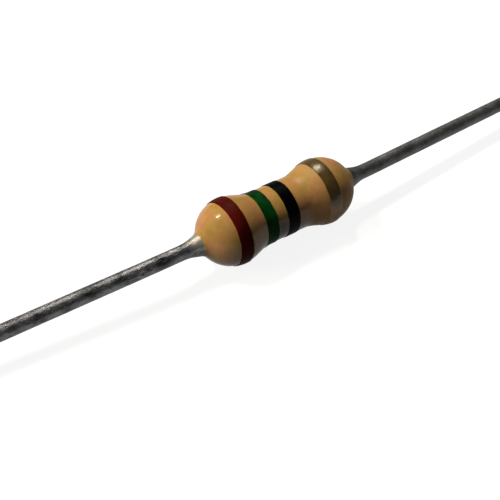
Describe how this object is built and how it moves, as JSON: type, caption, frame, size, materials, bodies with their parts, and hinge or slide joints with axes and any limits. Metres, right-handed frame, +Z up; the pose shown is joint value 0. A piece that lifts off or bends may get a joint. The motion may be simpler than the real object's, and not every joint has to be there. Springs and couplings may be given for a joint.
{
  "type": "axial resistor",
  "caption": "Through-hole resistor: a glossy tan lacquered body with a narrow waist and painted colour bands, and a straight tinned wire lead out of each end.",
  "frame": {"origin": "middle of the body, on the axis of the caps and the lead roots", "axes": "+X along the body's axis towards the gold band, +Z up, with the part lying on its bulbs and lead tips"},
  "size_m": [0.0624, 0.0034, 0.0026],
  "materials": {
    "lacquer": "glossy tan lacquer, slightly uneven",
    "paint_brown": "dark red-brown paint, semi-gloss",
    "paint_green": "dark green paint, semi-gloss",
    "paint_black": "black paint, semi-gloss",
    "paint_gold": "olive-gold metallic paint, thin",
    "tinned_wire": "dull tin plate with nicks and drawn streaks",
    "cap_steel": "plated pressed steel",
    "ceramic": "unglazed white ceramic",
    "carbon": "dark grey carbon film, satin"
  },
  "bodies": {
    "root": {"ceramic_core": "ceramic", "carbon_film": "carbon", "end_cap_left": "cap_steel", "end_cap_right": "cap_steel", "lead_wire_left": "tinned_wire", "lead_wire_right": "tinned_wire", "lacquer_coat": "lacquer", "band_brown": "paint_brown", "band_green": "paint_green", "band_black": "paint_black", "band_gold": "paint_gold"}
  },
  "joints": []
}
